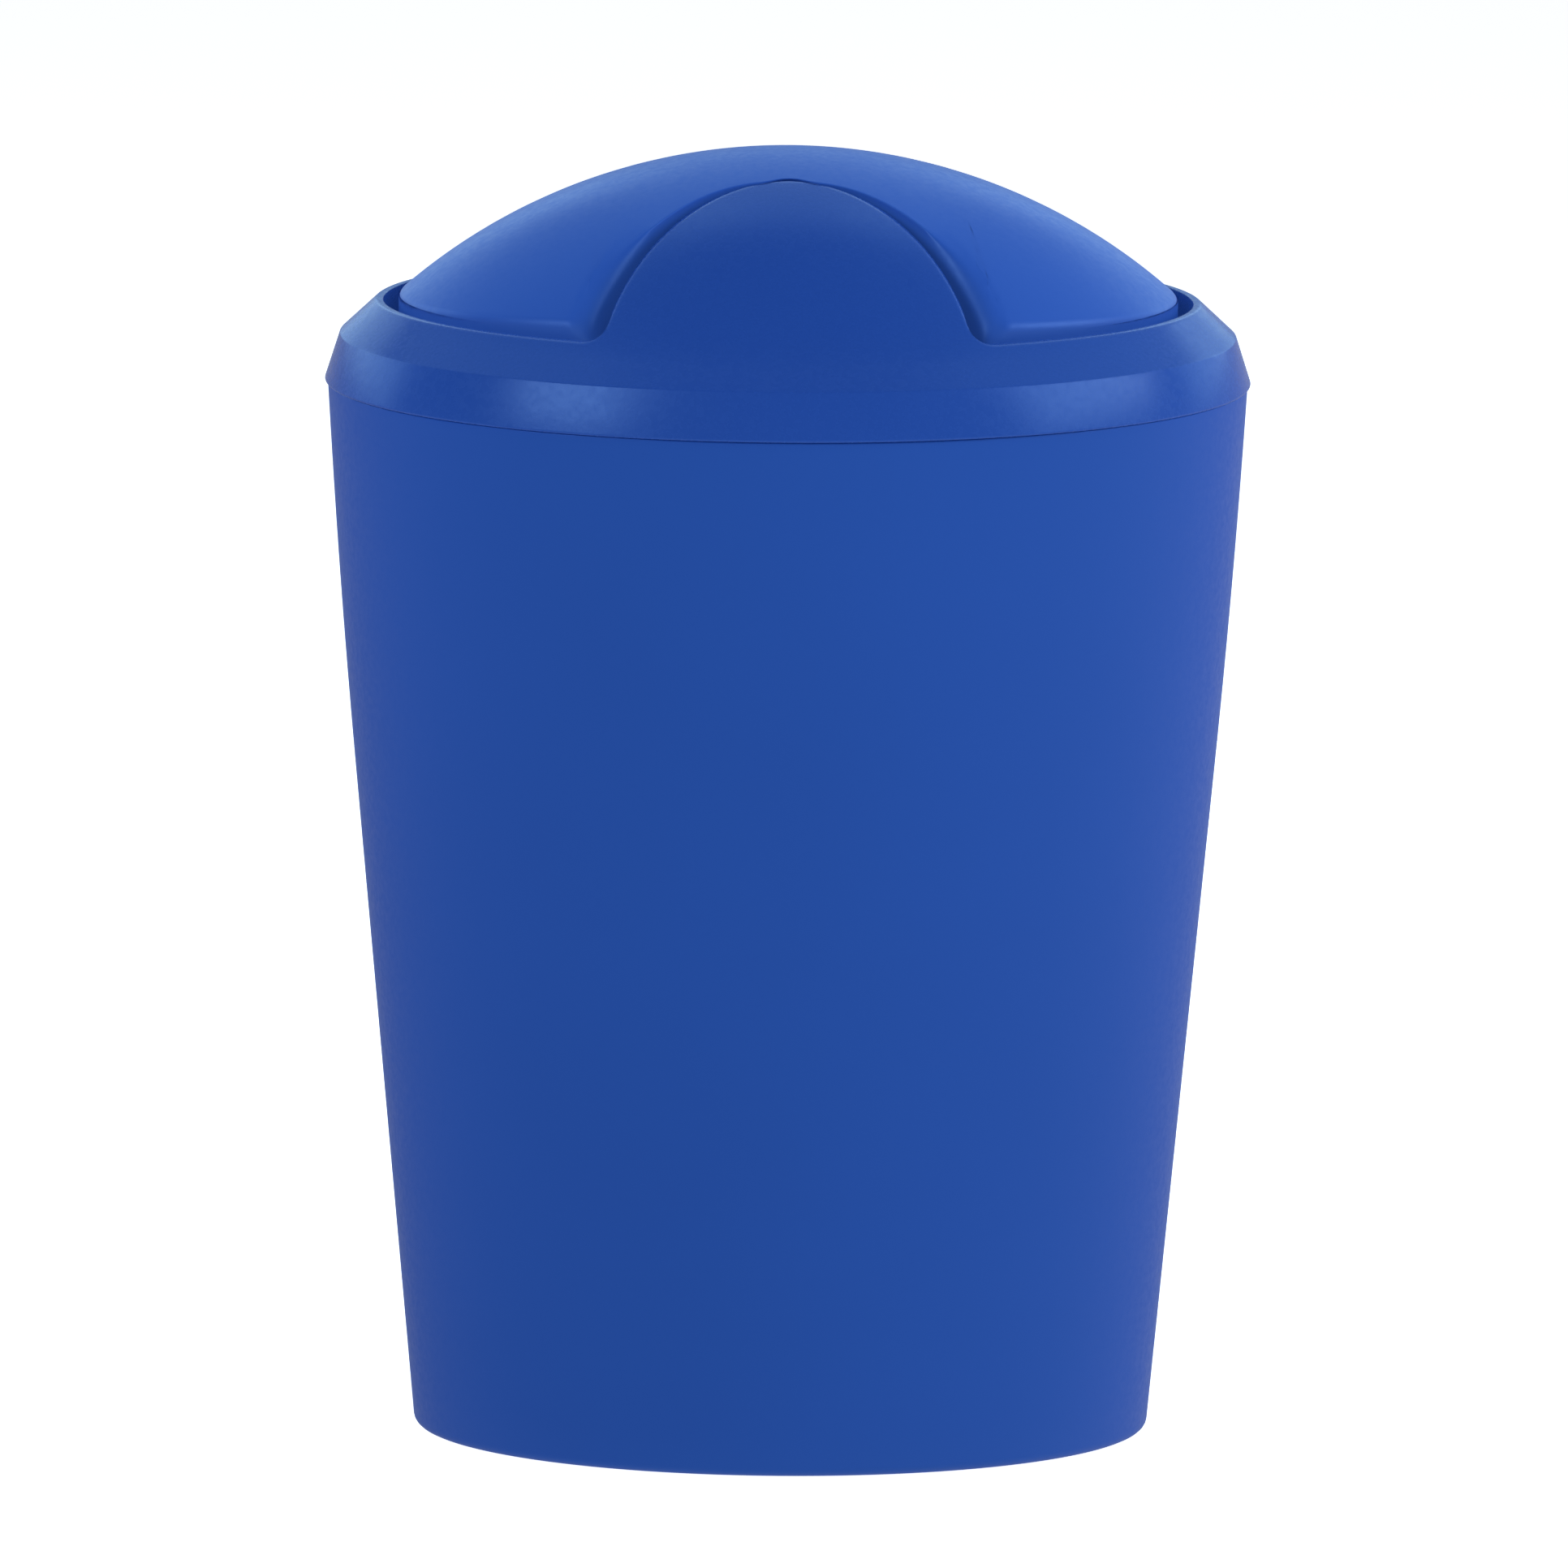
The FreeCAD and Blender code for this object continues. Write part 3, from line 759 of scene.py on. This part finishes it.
def make_flap():
    """Swing flap: hollow dome with two pockets, each with a hole for its pin."""
    edge = [(step / 8, None) for step in range(9)] + [(1.0, 286.0), (1.0, FLAP_BOTTOM)]
    outer = flap_spec(0.0, CROWN, EDGE_ROUNDING, edge, edge_reach)
    solid, corner_line = make_flap_solid("flap_moulding", outer)
    soften_corners(solid, corner_line, SOFTENING_REACH, SOFTENING_ROUNDS)
    inner_oval = (CROWN[0] - FLAP_WALL, CROWN[1] - FLAP_WALL)
    plain = [(0.0, None), (1.0, FLAP_BOTTOM - 4)]
    inner = flap_spec(FLAP_WALL, inner_oval, 0.0, plain, lambda share: 0.05)
    hollow, _ = make_flap_solid("hollow", inner)
    cut_away(solid, hollow)
    bpy.ops.mesh.primitive_cylinder_add(
        vertices=64, radius=PIN_HOLE_RADIUS * MM, depth=2 * (POCKET_FLOOR + 3) * MM,
        location=(0, 0, PIVOT_HEIGHT * MM), rotation=(math.pi / 2, 0, 0),
    )
    cut_away(solid, bpy.context.object)
    finish_skin(solid)
    return solid


# Materials


SPECULAR_TINT = (0.31, 0.55, 1.0, 1)
GRAIN_DEPTH = 0.00005
# Painted shade and painted fill light in hollows: the blend's edge in the space's scaled radius, the
# darkening of the base colour, and the strength of the emission that lifts the shade
PAINTED_SHADE_EDGE = (0.9905, 0.9985)
PAINTED_SHADE_TONE = 0.55
PAINTED_FILL_GLOW = 0.3


def map_range(tree, source, low, high, to_low, to_high):
    """Node that maps one range of a value to another."""
    node = tree.nodes.new("ShaderNodeMapRange")
    node.inputs["From Min"].default_value = low
    node.inputs["From Max"].default_value = high
    node.inputs["To Min"].default_value = to_low
    node.inputs["To Max"].default_value = to_high
    tree.links.new(source, node.inputs["Value"])
    return node.outputs["Result"]


def product(tree, first, second):
    """Node that multiplies two values."""
    node = tree.nodes.new("ShaderNodeMath")
    node.operation = "MULTIPLY"
    tree.links.new(first, node.inputs[0])
    tree.links.new(second, node.inputs[1])
    return node.outputs["Value"]


def moulded_plastic(name, colour, roughness, gloss_level, grain, grain_scale=1900.0, painted_shade_space=None):
    """Blue moulded plastic: satin, with a fine eroded grain and faint flow clouds.

    The optional space is a rounded one, given by its centre, half sizes and upper limit in metres.
    Faces inside it get painted shade, a darker base colour, and a faint emission of the same blue
    that is painted fill light lifting that shade.
    """
    material = bpy.data.materials.new(name)
    material.use_nodes = True
    tree = material.node_tree
    nodes, links = tree.nodes, tree.links
    shader = nodes["Principled BSDF"]
    shader.inputs["IOR"].default_value = 1.49
    shader.inputs["Specular IOR Level"].default_value = gloss_level
    shader.inputs["Specular Tint"].default_value = SPECULAR_TINT
    place = nodes.new("ShaderNodeTexCoord")

    def noise(scale, detail, roughness):
        node = nodes.new("ShaderNodeTexNoise")
        node.inputs["Scale"].default_value = scale
        node.inputs["Detail"].default_value = detail
        node.inputs["Roughness"].default_value = roughness
        links.new(place.outputs["Object"], node.inputs["Vector"])
        return node

    clouds = noise(14.0, 3.0, 0.5)
    tint = nodes.new("ShaderNodeValToRGB")
    tint.color_ramp.elements[0].position = 0.3
    tint.color_ramp.elements[1].position = 0.7
    tint.color_ramp.elements[0].color = [c * 0.985 for c in colour] + [1]
    tint.color_ramp.elements[1].color = [c * 1.015 for c in colour] + [1]
    links.new(clouds.outputs["Fac"], tint.inputs["Fac"])
    links.new(tint.outputs["Color"], shader.inputs["Base Color"])

    # Painted shade and painted fill light: inside the space the base colour darkens and a faint emission is
    # added
    if painted_shade_space:
        centre, half_sizes, limit = painted_shade_space
        inside = nodes.new("ShaderNodeMapping")
        inside.inputs["Scale"].default_value = [1 / size for size in half_sizes]
        inside.inputs["Location"].default_value = [-c / size for c, size in zip(centre, half_sizes)]
        links.new(place.outputs["Object"], inside.inputs["Vector"])
        reach = nodes.new("ShaderNodeVectorMath")
        reach.operation = "LENGTH"
        links.new(inside.outputs["Vector"], reach.inputs[0])
        height = nodes.new("ShaderNodeSeparateXYZ")
        links.new(place.outputs["Object"], height.inputs["Vector"])
        within = map_range(tree, reach.outputs["Value"], *PAINTED_SHADE_EDGE, 1.0, 0.0)
        below = map_range(tree, height.outputs["Z"], limit, limit + 0.0005, 1.0, 0.0)
        depth = product(tree, within, below)
        shade = nodes.new("ShaderNodeMix")
        shade.data_type = "RGBA"
        shade.inputs["B"].default_value = [c * PAINTED_SHADE_TONE for c in colour] + [1]
        links.new(depth, shade.inputs["Factor"])
        links.new(tint.outputs["Color"], shade.inputs["A"])
        links.new(shade.outputs["Result"], shader.inputs["Base Color"])
        shader.inputs["Emission Color"].default_value = list(colour) + [1]
        glow = map_range(tree, depth, 0.0, 1.0, 0.0, PAINTED_FILL_GLOW)
        links.new(glow, shader.inputs["Emission Strength"])

    mottle = noise(520.0, 2.0, 0.6)
    satin = map_range(tree, mottle.outputs["Fac"], 0.3, 0.7, roughness - 0.05, roughness + 0.05)
    links.new(satin, shader.inputs["Roughness"])

    fine = noise(grain_scale, 3.0, 0.65)
    bump = nodes.new("ShaderNodeBump")
    bump.inputs["Strength"].default_value = grain
    bump.inputs["Distance"].default_value = GRAIN_DEPTH
    links.new(fine.outputs["Fac"], bump.inputs["Height"])
    links.new(bump.outputs["Normal"], shader.inputs["Normal"])
    return material


BLUE = (0.0155, 0.0755, 0.385)
bucket_plastic = moulded_plastic("bucket_plastic", BLUE, 0.42, 0.30, 0.35)
# Space inside the collar's mouth where the lid plastic gets painted shade and a painted fill glow
mouth = ((0.0, 0.0, 0.0), (MOUTH[0] * MM, MOUTH[1] * MM, 100.0), (MOUTH_HEIGHT + 0.3) * MM)
lid_plastic = moulded_plastic("lid_plastic", (0.0185, 0.0745, 0.376), 0.27, 0.38, 0.5, 1000.0, mouth)
# Space just inside the dome's surface: the flap's pocket walls and skirt there get painted shade and a
# painted fill glow
dome_sizes = (DOME_RADIUS * MM, DOME_HALF_DEPTH * MM, DOME_RADIUS * MM)
flap_painted_shade_space = ((0.0, 0.0, DOME_CENTRE * MM), dome_sizes, 1.0)
# The flap's blue is set lighter than the bucket's and the lid's: painted light, so the upward-facing dome
# reads brighter
flap_plastic = moulded_plastic("flap_plastic", (0.027, 0.103, 0.49), 0.41, 0.48, 0.35, painted_shade_space=flap_painted_shade_space)
pin_plastic = moulded_plastic("pin_plastic", BLUE, 0.40, 0.30, 0.15)

for piece, material, body, node, slot in (
    (make_bucket(), bucket_plastic, "bucket_body", "bucket", "bucket_plastic"),
    (make_collar(), lid_plastic, "lid_body", "lid_collar", "lid_plastic"),
    (make_flap(), flap_plastic, "flap_body", "swing_flap", "flap_plastic"),
):
    piece.data.materials.clear()
    piece.data.materials.append(material)
    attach(piece, body)
    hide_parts(node)

for node in ("pivot_pin_front", "pivot_pin_rear"):
    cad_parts[node].data.materials.clear()
    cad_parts[node].data.materials.append(pin_plastic)


# Studio


def add_floor():
    """Plain pale floor that fills the picture."""
    bpy.ops.object.select_all(action="DESELECT")
    bpy.ops.mesh.primitive_plane_add(size=24.0)
    floor = bpy.context.object
    floor.name = "floor"
    pale = bpy.data.materials.new("pale_floor")
    pale.use_nodes = True
    shader = pale.node_tree.nodes["Principled BSDF"]
    shader.inputs["Base Color"].default_value = (0.86, 0.86, 0.87, 1)
    shader.inputs["Emission Color"].default_value = (1, 1, 1, 1)
    shader.inputs["Emission Strength"].default_value = 0.9
    shader.inputs["Roughness"].default_value = 0.9
    shader.inputs["Specular IOR Level"].default_value = 0.1
    floor.data.materials.append(pale)
    floor.visible_diffuse = False
    floor.visible_glossy = False
    floor.visible_shadow = False


def add_softbox(name, azimuth, elevation, width, height, power, colour, distance=1.5):
    """Soft light that faces the bin, at an azimuth from the front towards the right."""
    light = bpy.data.lights.new(name, "AREA")
    light.shape = "RECTANGLE"
    light.size, light.size_y = width, height
    light.energy = power
    light.color = colour
    box = bpy.data.objects.new(name, light)
    bpy.context.scene.collection.objects.link(box)
    turn, up = math.radians(azimuth), math.radians(elevation)
    aim = Vector((0, 0, 0.18))
    level = math.cos(up)
    towards = Vector((math.sin(turn) * level, -math.cos(turn) * level, math.sin(up)))
    box.location = aim + distance * towards
    box.rotation_euler = (aim - box.location).to_track_quat("-Z", "Y").to_euler()


def light_world():
    """Pale light from below, as a white floor gives it back, and next to none from above."""
    world = bpy.data.worlds.new("studio")
    bpy.context.scene.world = world
    world.use_nodes = True
    tree = world.node_tree
    place = tree.nodes.new("ShaderNodeTexCoord")
    split = tree.nodes.new("ShaderNodeSeparateXYZ")
    tree.links.new(place.outputs["Generated"], split.inputs["Vector"])
    level = map_range(tree, split.outputs["Z"], -0.08, 0.14, 1.02, 0.04)
    side = map_range(tree, split.outputs["X"], -1.0, 0.4, 0.62, 1.0)
    back = map_range(tree, split.outputs["Y"], 0.0, 0.7, 1.0, 0.5)
    strength = product(tree, product(tree, level, side), back)
    backdrop = tree.nodes["Background"]
    backdrop.inputs["Color"].default_value = (1, 1, 1, 1)
    tree.links.new(strength, backdrop.inputs["Strength"])


def add_camera():
    """Long lens at the photograph's angle."""
    data = bpy.data.cameras.new("camera")
    camera = bpy.data.objects.new("camera", data)
    bpy.context.scene.collection.objects.link(camera)
    distance, up = 6.0, math.radians(11.0)
    aim = Vector((-0.0002, 0, 0.1628))
    camera.location = aim + distance * Vector((0, -math.cos(up), math.sin(up)))
    level = (aim - camera.location).to_track_quat("-Z", "Y")
    camera.rotation_euler = (level @ Quaternion((0, 0, 1), math.radians(0.42))).to_euler()
    data.sensor_width = 36.0
    data.lens = 36.0 * distance / 0.3905
    data.clip_end = 60.0
    bpy.context.scene.camera = camera


add_floor()
PALE = (0.80, 0.90, 1.0)
COOL = (0.50, 0.78, 1.0)
for name, azimuth, elevation, width, height, power, colour in (
    ("left_softbox", -46, 28, 0.62, 0.6, 8.9, PALE),
    ("right_softbox", 70, 28, 1.0, 0.7, 13.2, PALE),
    ("left_side_panel", -116, 20, 0.85, 0.7, 5.2, COOL),
    ("right_side_panel", 122, 20, 0.9, 0.7, 4.0, COOL),
    ("back_left_panel", -150, 20, 0.9, 0.8, 3.3, COOL),
    ("back_panel", 180, 28, 0.9, 0.9, 2.8, COOL),
    ("back_right_panel", 150, 22, 0.9, 0.8, 3.0, COOL),
    ("high_left_panel", -128, 56, 0.9, 0.9, 2.1, COOL),
    ("high_back_panel", 180, 60, 0.9, 0.9, 2.6, COOL),
    ("high_right_panel", 128, 56, 0.9, 0.9, 2.0, COOL),
):
    add_softbox(name, azimuth, elevation, width, height, power, colour)
add_camera()
light_world()
bpy.context.scene.view_settings.view_transform = "Standard"
